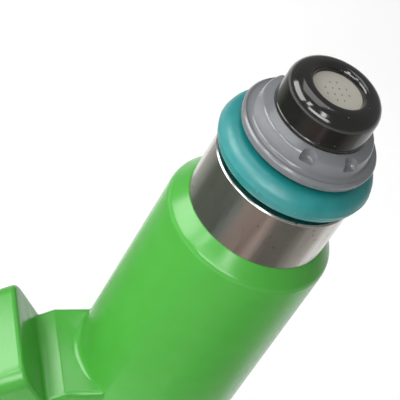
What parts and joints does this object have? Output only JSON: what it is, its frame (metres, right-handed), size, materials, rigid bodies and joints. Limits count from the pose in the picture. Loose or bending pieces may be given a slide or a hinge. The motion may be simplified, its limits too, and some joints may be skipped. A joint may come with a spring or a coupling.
{
  "type": "fuel injector",
  "caption": "Top-feed fuel injector with a ball valve, a coil in a green overmoulded body, an angled socket, sealing rings at both ends and a capped spray plate.",
  "frame": {"origin": "centre of the fuel inlet's open end, on the injector's axis", "axes": "+Z along the fuel path from the inlet to the nozzle, +X towards the electrical connector"},
  "size_m": [0.0324, 0.016, 0.0608],
  "materials": {
    "green_plastic": "satin moulded green plastic",
    "teal_rubber": "smooth teal rubber with a slight sheen",
    "black_rubber": "matte black rubber",
    "grey_plastic": "satin blue-grey moulded plastic",
    "black_plastic": "glossy black moulded plastic",
    "sleeve_steel": "turned stainless steel, fine rings, small scuffs",
    "stainless": "drawn stainless steel",
    "plate_metal": "matte light metal",
    "soft_iron": "machined soft iron",
    "hard_steel": "ground hard steel",
    "spring_steel": "drawn spring wire",
    "copper": "enamelled copper wire",
    "brass": "turned brass",
    "tinned_blade": "tinned bronze",
    "bobbin_plastic": "brown moulded plastic",
    "filter_plastic": "natural nylon",
    "filter_mesh": "fine woven mesh"
  },
  "bodies": {
    "root": {"fuel_pipe": "stainless", "filter_collar": "brass", "filter_frame": "filter_plastic", "filter_mesh": "filter_mesh", "upper_oring": "teal_rubber", "backup_ring": "grey_plastic", "clip_collar": "stainless", "body_overmold": "green_plastic", "terminal_left": "tinned_blade", "terminal_right": "tinned_blade", "lead_wires": "copper", "yoke_sleeve": "sleeve_steel", "flux_washer": "soft_iron", "fixed_core": "soft_iron", "lift_stop": "hard_steel", "spring_adjuster": "stainless", "return_spring": "spring_steel", "coil_bobbin": "bobbin_plastic", "coil_winding": "copper", "bobbin_seal_upper": "black_rubber", "bobbin_seal_lower": "black_rubber", "nozzle_body": "stainless", "needle_guide": "hard_steel", "valve_seat": "hard_steel", "orifice_plate": "plate_metal", "lower_oring": "teal_rubber", "spacer_ring": "grey_plastic", "tip_cap": "black_plastic"},
    "needle": {"armature": "soft_iron", "needle_stem": "stainless", "valve_ball": "hard_steel"}
  },
  "joints": [
    {"name": "needle_lift", "type": "slide", "parent": "root", "child": "needle", "axis": [0, 0, -1], "range_m": [0, 0.0001], "stiffness_N_per_m": 1500, "springref_m": -0.002, "deforming": ["return_spring"]}
  ]
}
